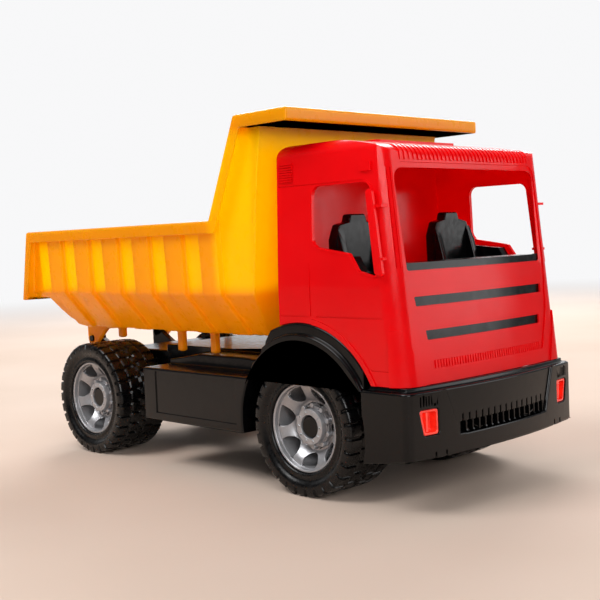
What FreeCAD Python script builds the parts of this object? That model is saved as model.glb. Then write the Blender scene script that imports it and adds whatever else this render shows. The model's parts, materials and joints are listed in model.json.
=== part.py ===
"""Large sandpit toy dump truck: moulded chassis, cab, tipping bed and four free wheels.

Frame: +X forward, +Y to the truck's left, +Z up. The origin is on the ground, half way
between the bumper's front and the bed's rear end. All lengths are in millimetres.
"""
import FreeCAD, Part
import math
import os

from FreeCAD import Vector

# ---- driving dimensions -------------------------------------------------------------
overall_length = 510.0          # bumper front to the bed's rear flange
wheel_base = 295.0
front_overhang = 120.0          # front axle to the bumper's front
body_half_width = 108.0         # bumper, fenders and side boxes

wheel_radius = 54.0
wheel_width = 54.0
wheel_outer_face = 107.4        # from the middle plane to the tyre's outer shoulder
rim_radius = 35.5
axle_radius = 3.0
running_clearance = 0.06        # radial, wheel bore over axle and bed lug over pin

deck_height = 104.0             # top of the chassis deck
deck_half_width = 77.0
wing_height = 101.5             # raised wings outside the tunnel
tunnel_half_width = 49.5        # passes between the wheels
tunnel_bottom = 42.0
chassis_wall = 2.5

arch_radius = 67.7
arch_step_radius = 74.0
fender_radius = 82.7
fender_step = 3.5               # the upper fender band sits this far in from the lower

side_box_top = 90.6
side_box_bottom = 43.3
side_box_rear = -68.0           # from the origin

bumper_bottom = 35.0            # at its rear edge
bumper_front_bottom = 40.5      # the bottom edge rises to this at the front
bumper_top = 89.5
bumper_depth = 54.5             # along X, at its middle
bumper_bow = 10.5               # the middle stands this far ahead of the corners
bumper_wall = 2.5

cab_half_width = 104.0
cab_height = 275.0              # top of the roof
cab_bottom = 92.7
cab_rear = 113.4
cab_front = 238.5               # at the bottom edge, at the corners
cab_bow = 6.0
cab_lean = 18.5                 # the front leans back this far from bottom to roof
cab_wall = 2.4
cab_floor_height = 138.5
sill_height = 175.5             # bottom edge of the windscreen opening
seam_gap = 0.3

bed_half_width = 120.5          # outside of the rim
bed_height = 301.5
bed_side_height = 219.5
bed_floor = 121.5
bed_floor_half_width = 77.0
bed_knee_height = 158.0
bed_knee_half_width = 108.0
bed_top_half_width = 111.0
bed_wall = 2.2
bed_rim_depth = 10.5
bed_tail_height = 152.0
bed_canopy_front = 147.0
rib_width = 24.0
rib_pitch = 47.9
rib_count = 6
rib_proud = 5.2
first_rib = 57.0                # first rib's middle, from the bed's rear end

hinge_setback = 16.0            # pin axis ahead of the bed's rear end
hinge_height = 104.5
hinge_pin_radius = 3.2
lug_half_spacing = 46.0
lug_thickness = 7.0
lug_gap = 0.5

seat_half_spacing = 60.0
seat_width = 50.0
screw_radius = 1.6
screw_head_radius = 3.4
screw_head_height = 2.4
past = 5.0                      # how far a cutting tool reaches past the face that it cuts

# ---- places that follow from them ---------------------------------------------------
front_end = overall_length / 2
rear_end = -overall_length / 2
front_axle_x = front_end - front_overhang
rear_axle_x = front_axle_x - wheel_base
axle_z = wheel_radius
wheel_inner_face = wheel_outer_face - wheel_width
bumper_rear = front_end - bumper_depth
hinge_x = rear_end + hinge_setback


def box(x0, x1, y0, y1, z0, z1):
    return Part.makeBox(x1 - x0, y1 - y0, z1 - z0, Vector(x0, y0, z0))


def cylinder_y(x, z, radius, y0, y1):
    return Part.makeCylinder(radius, y1 - y0, Vector(x, y0, z), Vector(0, 1, 0))


def ring_y(x, z, inner, outer, y0, y1):
    return cylinder_y(x, z, outer, y0, y1).cut(cylinder_y(x, z, inner, y0 - 1, y1 + 1))


def face_of(points):
    return Part.Face(Part.makePolygon(points + [points[0]]))


def rounded_face(corners):
    """Face of a flat outline; each corner is (point, radius), and a radius of 0 keeps it sharp."""
    edges = []
    last = None
    first = None
    for i, (corner, radius) in enumerate(corners):
        before = (corners[i - 1][0] - corner).normalize()
        after = (corners[(i + 1) % len(corners)][0] - corner).normalize()
        half = before.getAngle(after) / 2
        start = corner + before * (radius / math.tan(half))
        end = corner + after * (radius / math.tan(half))
        if last is not None:
            edges.append(Part.makeLine(last, start))
        if radius > 0:
            middle = corner + (before + after).normalize() * (radius / math.sin(half) - radius)
            edges.append(Part.Arc(start, middle, end).toShape())
        first = first or start
        last = end
    edges.append(Part.makeLine(last, first))
    return Part.Face(Part.Wire(edges))


def rounded_xz(corners, y0, y1):
    """Solid of a side-view outline of (x, z, radius) corners between two Y planes."""
    face = rounded_face([(Vector(x, y0, z), r) for x, z, r in corners])
    return face.extrude(Vector(0, y1 - y0, 0))


def rounded_yz(corners, x0, x1):
    """Solid of a front-view outline of (y, z, radius) corners between two X planes."""
    face = rounded_face([(Vector(x0, y, z), r) for y, z, r in corners])
    return face.extrude(Vector(x1 - x0, 0, 0))


def prism_xz(points, y0, y1):
    """Solid of a side-view outline between two Y planes."""
    face = face_of([Vector(x, y0, z) for x, z in points])
    return face.extrude(Vector(0, y1 - y0, 0))


def prism_yz(points, x0, x1):
    """Solid of a front-view outline between two X planes."""
    face = face_of([Vector(x0, y, z) for y, z in points])
    return face.extrude(Vector(x1 - x0, 0, 0))


def both_sides(shape):
    return shape.fuse(shape.mirror(Vector(0, 0, 0), Vector(0, 1, 0)))


def mirrored(shape):
    return shape.mirror(Vector(0, 0, 0), Vector(0, 1, 0))


def joined(shapes):
    """One clean solid from overlapping solids."""
    whole = shapes[0].fuse(shapes[1:]) if len(shapes) > 1 else shapes[0]
    return whole.removeSplitter()


# ---- chassis ------------------------------------------------------------------------
post_xs = (cab_rear + 14.0, bumper_rear - 14.0)
post_half_spacing = 30.0
post_radius = 5.0
rear_deck_height = deck_height - 6.0
tail_deck_height = deck_height - 16.0
deck_step = side_box_rear - 40.0
wing_front = front_axle_x - arch_radius + 6.0
bracket_thickness = 6.0
bracket_inner = lug_half_spacing - lug_thickness / 2 - lug_gap - bracket_thickness
tail_half_width = bracket_inner + bracket_thickness
tail_start = hinge_x + 60.0
boss_radius = 8.0
boss_face = wheel_inner_face - 0.6


def chassis_tunnel():
    """Upturned channel between the wheels, lower at the rear and narrow between the bed's lugs."""
    w = chassis_wall
    stretches = [(hinge_x - 8.0, tail_start + w, tail_half_width, tail_deck_height),
                 (tail_start, deck_step + w, tunnel_half_width, rear_deck_height),
                 (deck_step, bumper_rear, tunnel_half_width, deck_height)]
    outer = joined([box(x0, x1, -half, half, tunnel_bottom, top) for x0, x1, half, top in stretches])
    last = len(stretches) - 1
    inner = joined([box(x0 + w, x1 - w * (i == last), w - half, half - w, tunnel_bottom - 1, top - w)
                    for i, (x0, x1, half, top) in enumerate(stretches)])
    return outer.cut(inner)


def wing_outline(inset):
    """Side view of the raised wing that the bed's feet rest on, sloping down at its ends."""
    foot = side_box_top - (1.0 if inset else 0.0)
    top = wing_height - inset
    rear = side_box_rear + inset
    front = wing_front - inset
    return [(rear, foot), (rear, top - 7.0), (side_box_rear + 46.0, top), (wing_front - 36.0, top),
            (front, top - 2.5), (front, foot)]


def side_box():
    """Deck wing and box between the wheels on the truck's left side."""
    w = chassis_wall
    y_in = tunnel_half_width - w
    wing = prism_xz(wing_outline(0.0), y_in, deck_half_width)
    wing = wing.cut(prism_xz(wing_outline(w), y_in - 1, deck_half_width - w))
    front = front_axle_x - arch_radius + 14.0
    shell = box(side_box_rear, front, y_in, body_half_width, side_box_bottom, side_box_top)
    hollow = box(side_box_rear + w, front - w, y_in - 1, body_half_width - w,
                 side_box_bottom - 1, side_box_top - w)
    shell = shell.cut(hollow)
    recess_front = front_axle_x - arch_radius - 7.0
    recess = box(side_box_rear + 18.0, recess_front, body_half_width - 1.0, body_half_width + 1,
                 side_box_bottom + 7.0, side_box_top - 3.0)
    return wing.fuse(shell.cut(recess))


def fender():
    """Front wheel arch on the left side: liner, stepped outer bands and rear shoulder."""
    w = chassis_wall
    x, z = front_axle_x, axle_z
    inner_y = tunnel_half_width - w
    step_y = body_half_width - fender_step
    ledge_y = cab_half_width - 9.0
    liner = ring_y(x, z, arch_radius, arch_radius + w, inner_y, body_half_width)
    band = ring_y(x, z, arch_radius, arch_step_radius, body_half_width - w, body_half_width)
    ledge = ring_y(x, z, arch_step_radius - w, arch_step_radius, step_y - w, body_half_width)
    upper = ring_y(x, z, arch_step_radius - w, fender_radius, step_y - w, step_y)
    top = ring_y(x, z, fender_radius - w, fender_radius, ledge_y, step_y)
    rings = liner.fuse([band, ledge, upper, top])
    far = fender_radius + 20
    keep = box(x - arch_radius - 6.0, bumper_rear, 0, far * 2, side_box_top - w, z + far)
    rings = rings.common(keep)
    low_rear = ring_y(x, z, arch_radius, arch_radius + w, inner_y, body_half_width)
    low_rear = low_rear.common(box(x - far, x, 0, far * 2, side_box_bottom, side_box_top))
    slope = prism_xz([(x - 24.0, z + far), (x - 24.0, z + 79.8), (x - 31.0, z + 77.8),
                      (x - 39.0, z + 67.0), (x - 41.0, z + 58.0), (x - 52.0, z + 48.0),
                      (x - 58.5, side_box_top), (x - far, side_box_top), (x - far, z + far)],
                     -1, far * 2)
    return rings.cut(slope).fuse(low_rear)


def hinge_bracket():
    """Upright ear on the left that carries the bed's pin."""
    y0 = bracket_inner
    y1 = y0 + bracket_thickness
    ear = cylinder_y(hinge_x, hinge_height, 8.0, y0, y1)
    web = box(hinge_x - 8.0, hinge_x + 8.0, y0, y1, tail_deck_height - 20.0, hinge_height)
    brace = prism_xz([(hinge_x + 8.0, hinge_height), (hinge_x + 40.0, tail_deck_height - 1.0),
                      (hinge_x + 8.0, tail_deck_height - 1.0)], y0, y1)
    return ear.fuse([web, brace])


def chassis():
    x_wheels = (front_axle_x, rear_axle_x)
    bosses = [cylinder_y(x, axle_z, boss_radius, tunnel_half_width - 8.0, boss_face) for x in x_wheels]
    left = side_box().fuse([fender(), hinge_bracket()] + bosses)
    posts = [Part.makeCylinder(post_radius, cab_floor_height - deck_height + 1.0,
                               Vector(x, y, deck_height - 1.0))
             for x in post_xs for y in (-post_half_spacing, post_half_spacing)]
    tyre_room = cylinder_y(front_axle_x, axle_z, arch_radius, boss_face, body_half_width + 5)
    rear_room = cylinder_y(rear_axle_x, axle_z, wheel_radius + 3.0, boss_face, body_half_width + 5)
    left = left.cut(tyre_room).cut(rear_room)
    body = joined([chassis_tunnel(), left, mirrored(left)] + posts)
    for x in x_wheels:
        body = body.cut(cylinder_y(x, axle_z, axle_radius, -body_half_width, body_half_width))
    body = body.cut(cylinder_y(hinge_x, hinge_height, hinge_pin_radius, -body_half_width, body_half_width))
    for x in post_xs:
        for y in (-post_half_spacing, post_half_spacing):
            body = body.cut(Part.makeCylinder(screw_radius + 0.3, 60.0, Vector(x, y, deck_height - 10.0)))
    for y, z in bumper_screw_places:
        body = body.cut(Part.makeCylinder(screw_radius + 0.3, 10.0, Vector(bumper_rear - 6.0, y, z),
                                          Vector(1, 0, 0)))
    return body


# ---- bumper and headlights ----------------------------------------------------------
bumper_screw_places = [(y, z) for y in (-34.0, 34.0) for z in (52.0, 78.0)]
lamp_inner = 78.5
lamp_outer = 97.0
lamp_bottom = 57.7
lamp_top = 76.6
lamp_depth = 7.0
lamp_slant = 4.0
grille_slots = 15
grille_pitch = 7.4
grille_half_width = 57.0
grille_top_half_width = 72.0
grille_recess = 2.0
grille_bottom = bumper_bottom + 20.0
grille_slot_width = 5.8
grille_slot_height = 7.5
slit_width = 1.5
slit_height = 13.0
louvre_count = 7
louvre_width = 1.2
bumper_corner = 7.0             # radius of the front corners


def bowed_plan(half_width, x_back, x_corner, x_middle, z):
    """Plan outline with a bowed front, as a face at height z."""
    a = Vector(x_back, -half_width, z)
    b = Vector(x_corner, -half_width, z)
    c = Vector(x_corner, half_width, z)
    d = Vector(x_back, half_width, z)
    front = Part.Arc(b, Vector(x_middle, 0, z), c).toShape()
    edges = [Part.makeLine(a, b), front, Part.makeLine(c, d), Part.makeLine(d, a)]
    return Part.Face(Part.Wire(edges))


def bumper_x(y, inset=0.0):
    """Front surface of the bumper at a distance y from the middle plane."""
    reach = body_half_width - inset
    corner = front_end - bumper_bow - inset
    middle = front_end - inset
    radius = (reach ** 2 + bumper_bow ** 2) / (2 * bumper_bow)
    return middle - radius + math.sqrt(radius ** 2 - y ** 2) if abs(y) < reach else corner


def bumper_block(inset, radius, z_low, z_high):
    """Bow-fronted block of the bumper's outline, drawn in by inset, with rounded front corners."""
    corner = front_end - bumper_bow - inset
    back = bumper_rear - (1.0 if inset else 0.0)
    block = bowed_plan(body_half_width - inset, back, corner, front_end - inset, z_low)
    block = block.extrude(Vector(0, 0, z_high - z_low))
    edges = [e for e in block.Edges
             if abs(e.CenterOfMass.x - corner) < 0.01 and abs(e.CenterOfMass.z - (z_low + z_high) / 2) < 0.01]
    return block.makeFillet(radius, edges)


def grille_outline(grow, z_top):
    """Front view of the middle recess, wider at the top."""
    z_low = grille_bottom - grow
    return [(-grille_half_width - grow, z_low), (grille_half_width + grow, z_low),
            (grille_top_half_width + grow, z_top), (-grille_top_half_width - grow, z_top)]


def lamp_outline(inset):
    """Front view of the left lamp, its outer side leaning in towards the bottom."""
    t = inset
    return [(lamp_inner + t, lamp_bottom + t, 2.0), (lamp_outer - lamp_slant - t, lamp_bottom + t, 2.0),
            (lamp_outer - t, lamp_top - t, 2.0), (lamp_inner + t, lamp_top - t, 2.0)]


def lamp_cuts(side):
    """Lamp pocket and the row of louvres above it on one side."""
    back = front_end - 35.0
    pocket = rounded_yz(lamp_outline(0.0), back, front_end + past)
    cuts = [pocket if side > 0 else mirrored(pocket)]
    pitch = (lamp_outer - lamp_inner) / louvre_count
    for i in range(louvre_count):
        y = side * (lamp_inner + pitch * (i + 0.5))
        cuts.append(box(back, front_end + past, y - louvre_width / 2, y + louvre_width / 2,
                        lamp_top + 3.0, bumper_top - 3.5))
    return cuts


def front_bumper():
    w = bumper_wall
    corner = front_end - bumper_bow
    outer = bumper_block(0.0, bumper_corner, bumper_bottom, bumper_top)
    shell = outer.cut(bumper_block(w, bumper_corner - w, bumper_bottom - 1, bumper_top - w))
    backing = prism_yz(grille_outline(3.0, bumper_top - 0.5), corner - w - 3.0, front_end)
    shell = shell.fuse(backing.common(outer))
    behind = bowed_plan(body_half_width, corner - 20.0, corner - grille_recess, front_end - grille_recess,
                        bumper_bottom - 1)
    behind = behind.extrude(Vector(0, 0, 100))
    recess = prism_yz(grille_outline(0.0, bumper_top + past), corner - 15.0, front_end + past)
    shell = shell.cut(recess.cut(behind))
    half_run = grille_pitch * (grille_slots - 1) / 2
    half_slot = grille_slot_width / 2
    for i in range(grille_slots):
        y = i * grille_pitch - half_run
        shell = shell.cut(box(corner - 20.0, front_end + past, y - half_slot, y + half_slot,
                              grille_bottom, grille_bottom + grille_slot_height))
        shell = shell.cut(box(corner - 20.0, front_end + past, y - slit_width / 2, y + slit_width / 2,
                              grille_bottom, grille_bottom + slit_height))
    for y in (-82.5, -72.0, 72.0, 82.5):
        shell = shell.cut(box(corner - 20.0, front_end + past, y - slit_width / 2, y + slit_width / 2,
                              bumper_bottom - 1, bumper_front_bottom + 4.5))
    rise = prism_xz([(bumper_rear - 1, bumper_bottom - past), (front_end + past, bumper_bottom - past),
                     (front_end + past, bumper_front_bottom), (corner, bumper_front_bottom),
                     (bumper_rear - 1, bumper_bottom)], -body_half_width - past, body_half_width + past)
    shell = shell.cut(rise)
    for cut in lamp_cuts(-1) + lamp_cuts(1):
        shell = shell.cut(cut)
    forward = Vector(1, 0, 0)
    bosses = [Part.makeCylinder(4.5, bumper_x(y, w) - bumper_rear - 0.2, Vector(bumper_rear, y, z), forward)
              for y, z in bumper_screw_places]
    shell = joined([shell] + bosses)
    for y, z in bumper_screw_places:
        shell = shell.cut(Part.makeCylinder(screw_radius, 16.0, Vector(bumper_rear - 1, y, z), forward))
    arch = ring_y(front_axle_x, axle_z, 10.0, arch_radius, -body_half_width - past, body_half_width + past)
    ledge = bowed_plan(body_half_width - 5.0, bumper_rear + 4.0, corner - 5.0, front_end - 7.0, bumper_top - 1)
    ledge = ledge.extrude(Vector(0, 0, cab_bottom - seam_gap - bumper_top + 1))
    return joined([shell.cut(arch), ledge.cut(ledge_hollow())])


def ledge_hollow():
    face = bowed_plan(body_half_width - 8.0, bumper_rear, front_end - bumper_bow - 9.0, front_end - 11.0,
                      bumper_top - 5)
    return face.extrude(Vector(0, 0, 20))


def headlight():
    """Left lamp insert: a lens plate set back in its pocket, with a rim behind the bumper's wall."""
    front = bumper_x(lamp_inner)
    back = bumper_x(lamp_outer) - lamp_depth
    room = bumper_block(0.8, bumper_corner - 0.8, bumper_bottom, bumper_top)
    body = rounded_yz(lamp_outline(seam_gap), back, front).common(room)
    hollow = rounded_yz(lamp_outline(2.0), back + 2.0, front + 1.0)
    bulb = box(back + 1.0, back + lamp_depth - 1.5, 86.0, 88.5, lamp_bottom + 2.0, lamp_top - 2.0)
    return body.cut(hollow).fuse(bulb)


# ---- cab ----------------------------------------------------------------------------
cab_corner = 15.0               # radius of the front pillars
cab_waist = 165.0               # the sides lean in above this height
cab_tumblehome = 4.5
roof_radius = 12.0
front_recess = 1.0              # the front panel is set back this far inside its frame
cheek_proud = 1.4
cheek_height = 133.0
groove_width = 0.9
groove_depth = 0.8
flare_width = 4.5
vent_count = 8
vent_pitch = 1.9
front_slot_height = 7.0
lip_width = 1.6
visor_ribs = 35
visor_pitch = 4.8
foot_ribs = 45
foot_pitch = 3.1

window_rear = cab_rear + 39.0
window_front = cab_front - 26.0
window_top = 241.0
windscreen_half_width = 86.5     # at the sill; the opening widens towards the roof
windscreen_flare = 3.0
windscreen_top = 250.5


def cab_solid(inset, z_low, z_high):
    """Cab outline between two heights, drawn in by inset on every side."""
    t = inset
    half = cab_half_width - t
    lean = Vector(-cab_lean, 0, cab_height - cab_bottom)
    plan = bowed_plan(half, cab_rear + cab_lean + 20.0, cab_front - t, cab_front + cab_bow - t, cab_bottom)
    leaned = plan.extrude(lean)
    pillars = [e for e in leaned.Edges
               if abs(e.CenterOfMass.x - (cab_front - t - cab_lean / 2)) < 0.01
               and abs(abs(e.CenterOfMass.y) - half) < 0.01]
    leaned = leaned.makeFillet(cab_corner - t, pillars)
    back = box(cab_rear + t, cab_rear + cab_lean + 40.0, -half, half, cab_bottom, cab_height)
    body = leaned.fuse(back).common(box(cab_rear + t, cab_front + 40, -half, half, z_low, z_high))
    top = cab_height - t
    lean_in = half - cab_tumblehome
    section = rounded_yz([(-half, z_low - 1, 0), (half, z_low - 1, 0), (half, cab_waist, 60.0),
                          (lean_in, top, roof_radius - t), (-lean_in, top, roof_radius - t),
                          (-half, cab_waist, 60.0)], cab_rear - 5, cab_front + 40)
    edge = cab_front + cab_bow - cab_lean - t
    roof = rounded_xz([(cab_rear - 20, z_low - 1, 0), (cab_front + 40, z_low - 1, 0),
                       (cab_front + 40, top - 30.0, 0), (edge + 1.5, top - 30.0, 8.0),
                       (edge - 2.0, top - 9.0, 13.0),
                       (cab_rear + 62, top, 120.0), (cab_rear + t, top - 0.5, 7.0),
                       (cab_rear - 2 + t, z_low + 20, 0), (cab_rear - 20, z_low + 20, 0)],
                      -cab_half_width - 5, cab_half_width + 5)
    return body.common(section).common(roof)


def side_window_corners(y):
    """Corners of the side window, with its stepped lower edge, in the plane at y."""
    return [(Vector(x, y, z), r) for x, z, r in
            ((window_rear, window_top, 7.0), (window_rear, 195.5, 8.0), (window_rear + 38, 189.5, 3.0),
             (window_rear + 47, 176.5, 2.0), (window_front + 5, 172.0, 3.0),
             (window_front - 1.5, window_top, 7.0))]


def side_windows():
    """Both side window openings as one solid."""
    reach = cab_half_width + past
    return rounded_face(side_window_corners(-reach)).extrude(Vector(0, 2 * reach, 0))


def windscreen():
    half = windscreen_half_width
    top_half = half + windscreen_flare
    return rounded_yz([(-half, sill_height, 2.0), (half, sill_height, 2.0), (top_half, windscreen_top, 8.0),
                       (-top_half, windscreen_top, 8.0)], cab_front - 30, cab_front + 40)


def front_panel():
    """Outline of the set-back front panel, from the roof edge down to its narrow foot."""
    half = windscreen_half_width + 3.5
    top = windscreen_top + 4.0
    return rounded_yz([(-73.0, 103.5, 2.0), (73.0, 103.5, 2.0), (half - 4, 136.0, 30.0),
                       (half + 1, sill_height, 30.0), (half + 1, top, 10.0), (-half - 1, top, 10.0),
                       (-half - 1, sill_height, 30.0), (4 - half, 136.0, 30.0)],
                      cab_front - 22, cab_front + 40)


def side_grooves():
    """Door and panel lines cut in the left side."""
    y0 = cab_half_width - groove_depth
    g = groove_width / 2
    door_rear = window_rear - 4.0
    door_front = cab_front - 13.0
    far = cab_half_width + past
    low = cab_floor_height + 3.5
    return [box(cab_rear + 2, window_front - 8, y0 - 3.4, far, window_top + 1.5 - g, window_top + 1.5 + g),
            box(door_rear - g, door_rear + g, y0, far, low, 190.0),
            box(cab_rear + 2, door_rear - 3, y0, far, low - g, low + g),
            box(door_rear + 6, door_front - 5, y0, far, low - g, low + g),
            box(door_front - g, door_front + g, y0, far, 104.0, 170.0),
            box(door_front - 17, door_front, y0, far, 104.0 - g, 104.0 + g)]


def side_trim():
    """Raised trim on the left side: arch flare, vent ridges and a small lamp block."""
    y = cab_half_width
    flare = ring_y(front_axle_x, axle_z, fender_radius, fender_radius + flare_width, y - 1.5, y + 0.9)
    flare = flare.common(box(front_axle_x + 14, cab_front - 14, 0, y + past, cab_bottom, cab_height))
    lamp = box(window_front - 10.5, window_front + 0.5, y - 6, y - 1.6, window_top + 8, window_top + 14.5)
    trim = [flare, lamp]
    for i in range(vent_count):
        z = window_top + 5 + i * vent_pitch
        trim.append(box(cab_rear + 2, cab_rear + 18, y - 6, y - 1.8, z, z + vent_pitch / 2))
    return trim


def cheeks():
    """Raised panels that wrap the lower front corners."""
    band = cab_solid(-cheek_proud, cab_bottom, cheek_height)
    left = prism_yz([(82.0, cab_bottom - 1), (cab_half_width + 5, cab_bottom - 1),
                     (cab_half_width + 5, cheek_height + 1), (98.0, cheek_height + 1)],
                    cab_front - 12.5, cab_front + 20)
    return band.common(both_sides(left))


def front_ribs(count, pitch, width, z_low, z_high, proud):
    """Row of small upright ribs standing proud of the front surface between two heights."""
    band = cab_solid(-proud, z_low, z_high)
    half_run = pitch * (count - 1) / 2
    ribs = [box(cab_front - 40, cab_front + 40, i * pitch - half_run - width / 2,
                i * pitch - half_run + width / 2, z_low, z_high) for i in range(count)]
    return [band.common(rib) for rib in ribs]


def windscreen_lip():
    """Narrow frame round the windscreen opening, level with the pillars."""
    half = windscreen_half_width + lip_width
    top_half = half + windscreen_flare
    frame = rounded_yz([(-half, sill_height - lip_width, 3.0), (half, sill_height - lip_width, 3.0),
                        (top_half, windscreen_top + lip_width, 9.0),
                        (-top_half, windscreen_top + lip_width, 9.0)], cab_front - 30, cab_front + 40)
    band = cab_solid(-0.3, sill_height - 2 * lip_width, windscreen_top + 2 * lip_width)
    return frame.common(band)


def window_lip():
    """Narrow frame round the left side window."""
    face = rounded_face(side_window_corners(cab_half_width - 8))
    frame = face.makeOffset2D(lip_width).extrude(Vector(0, 20.0, 0))
    return frame.common(cab_solid(-0.7, sill_height - 20, cab_height - 5))


def pillar_creases():
    """Upright creases on the front of the left windscreen pillar."""
    cuts = []
    for y in (93.0, 96.0):
        line = prism_yz([(y, 178.0), (y + 0.8, 178.0), (y + 0.4, windscreen_top), (y - 0.4, windscreen_top)],
                        cab_front - 22, cab_front + 20)
        cuts.append(line)
    return cuts


def roof_hatch():
    """Low plate on the roof."""
    rear = cab_rear + 10
    front = cab_front - 63.0
    half = 50.5
    corners = [(rear, -half), (front, -half), (front, half), (rear, half)]
    face = rounded_face([(Vector(x, y, cab_height - 1.5), 5.0) for x, y in corners])
    return face.extrude(Vector(0, 0, 3.0))


def front_slot(z, half):
    """Wide slot in the front panel, open to the black backing behind it."""
    return rounded_yz([(1 - half, z, 0.8), (half - 1, z, 0.8), (half, z + front_slot_height, 0.8),
                       (-half, z + front_slot_height, 0.8)], cab_front - 20, cab_front + 40)


def cab_shell():
    outer = cab_solid(0.0, cab_bottom, cab_height)
    inner = cab_solid(cab_wall, cab_bottom - past, cab_height - cab_wall)
    set_back = cab_solid(0.0, cab_bottom - past, cab_height + past)
    set_back.translate(Vector(-front_recess, 0, 0))
    trim = side_trim() + [window_lip()]
    visor_width = visor_pitch / 2
    whole = joined([outer.cut(front_panel().cut(set_back)), cheeks(), windscreen_lip()]
                   + [both_sides(t) for t in trim]
                   + front_ribs(visor_ribs, visor_pitch, visor_width, windscreen_top + 6, cab_height - 7, 0.8)
                   + front_ribs(foot_ribs, foot_pitch, foot_pitch / 2, 103.5, 109.5, 0.0))
    shell = whole.cut(inner).cut(side_windows()).cut(windscreen())
    shell = shell.cut(front_slot(149.5, 82.5)).cut(front_slot(124.5, 74.5))
    for line in side_grooves() + pillar_creases():
        shell = shell.cut(both_sides(line))
    reach = cab_half_width + past
    arch = cylinder_y(front_axle_x, axle_z, fender_radius + seam_gap, -reach, reach)
    low_rear = box(cab_rear - past, front_axle_x, -reach, reach, 0, cab_floor_height - 5)
    shell = shell.cut(arch).cut(low_rear)
    return joined([shell, roof_hatch(), both_sides(mirror_bar())])


def mirror_bar():
    """Left mirror strip and its two arms on the windscreen pillar."""
    y0 = cab_half_width - 6.0
    x = window_front - 2.0
    strip = rounded_xz([(x, 234.0, 2.0), (x + 6, 237.0, 3.0), (x + 14, 171.5, 2.0), (x + 6, 174.5, 2.0)],
                       y0 + 5.5, y0 + 8.0)
    arms = [box(x + 6, x + 14, y0, y0 + 7.0, z, z + 2.0) for z in (184.0, 222.0)]
    return strip.fuse(arms)


def cab_interior():
    """Floor, dashboard, backing behind the front slots and a shelf under each side window."""
    g = cab_wall + seam_gap
    t = 2.5
    room = cab_solid(g, cab_floor_height, cab_height - g)
    floor = room.common(box(cab_rear, cab_front + 20, -cab_half_width, cab_half_width,
                            cab_floor_height, cab_floor_height + t))
    arch_gap = cylinder_y(front_axle_x, axle_z, fender_radius + seam_gap, -cab_half_width, cab_half_width)
    core = cab_solid(g + t, cab_floor_height, cab_height - g)
    front_x = cab_front - 22.0
    front_wall = room.cut(core).common(box(front_x, cab_front + 20, -cab_half_width, cab_half_width,
                                           cab_floor_height, sill_height + 5.5))
    dash = room.common(box(front_x - 8.0, cab_front + 20, -windscreen_half_width, windscreen_half_width,
                           sill_height + 3.0, sill_height + 5.5))
    lower = cab_solid(g, 118.0, cab_floor_height + t).cut(cab_solid(g + t, 117.0, cab_floor_height + t + 1))
    lower = lower.common(box(cab_front - 12.0, cab_front + 20, -windscreen_half_width, windscreen_half_width,
                             118.0, cab_floor_height + t))
    shelf_y = cab_half_width - g - 3.2
    sill = [(window_rear + 8.0, 190.0), (window_rear + 36.0, 187.0), (window_rear + 43.0, 176.0),
            (front_x + 4.0, 173.0)]
    foot = [(front_x + 4.0, cab_floor_height), (window_rear + 8.0, cab_floor_height)]
    shelf = prism_xz(sill + foot, shelf_y - 9.0, shelf_y)
    below = [(x, z - t) for x, z in sill] + [(x, z - 1) for x, z in foot]
    inside = prism_xz(below, shelf_y - 7.0, shelf_y - 2.0)
    shelf = shelf.cut(inside.common(box(window_rear + 10.0, front_x + 2.0, 0, cab_half_width,
                                        cab_floor_height - 1, sill_height + 20)))
    bosses = [Part.makeCylinder(4.0, 9.0, Vector(x, y, cab_floor_height)) for x in post_xs
              for y in (-post_half_spacing, post_half_spacing)]
    body = joined([floor, front_wall, dash, lower, both_sides(shelf)] + bosses)
    body = body.cut(arch_gap)
    for x in post_xs:
        for y in (-post_half_spacing, post_half_spacing):
            body = body.cut(Part.makeCylinder(screw_radius, 8.0, Vector(x, y, cab_floor_height - 1)))
    return body


def seat():
    """Left seat: pedestal cushion, winged back and headrest."""
    x = cab_rear + 45.0
    z = cab_floor_height + 2.5
    half = seat_width / 2
    back = [(half, z + 24), (half + 1, 200.0), (half - 4, 211.5), (10.5, 213.5), (8.5, 219.5)]
    back = prism_yz([(-y, h) for y, h in back] + back[::-1], x - 6.0, x + 3.0)
    cushion = prism_xz([(x - 6.0, z), (x + 34.0, z), (x + 38.0, z + 20.0), (x + 36.0, z + 26.0),
                        (x - 6.0, z + 22.0)], 2 - half, half - 2)
    wing = prism_xz([(x + 3.0, z + 22.0), (x + 16.0, z + 24.0), (x + 8.0, 196.0), (x + 3.0, 208.0)],
                    half - 6, half)
    whole = joined([back, cushion, wing, mirrored(wing)])
    whole.translate(Vector(0, seat_half_spacing, 0))
    return whole


# ---- dump bed -----------------------------------------------------------------------
bed_front_knee = cab_rear - 24.8
bed_front_foot = cab_rear - 41.2
bed_front_top = cab_rear - 5.2
bed_low_rim_front = rear_end + 304.5
bed_high_rim_rear = rear_end + 340.6
bed_ramp_top = rear_end + 23.0
bed_ramp_foot = rear_end + 57.0
foot_length = 7.5
foot_inner = 65.0
foot_outer = 72.0
foot_shift = 3.5                # feet stand this far behind the ribs' middles


def bed_section(side, lift):
    """Front-view outline of the hull, moved out sideways by side and its floor up by lift."""
    top = bed_height + 20
    half = [(bed_floor_half_width + side, bed_floor + lift),
            (bed_knee_half_width + side, bed_knee_height),
            (bed_top_half_width + side, bed_side_height),
            (bed_top_half_width + side, top)]
    return [(-y, z) for y, z in reversed(half)] + half


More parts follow.
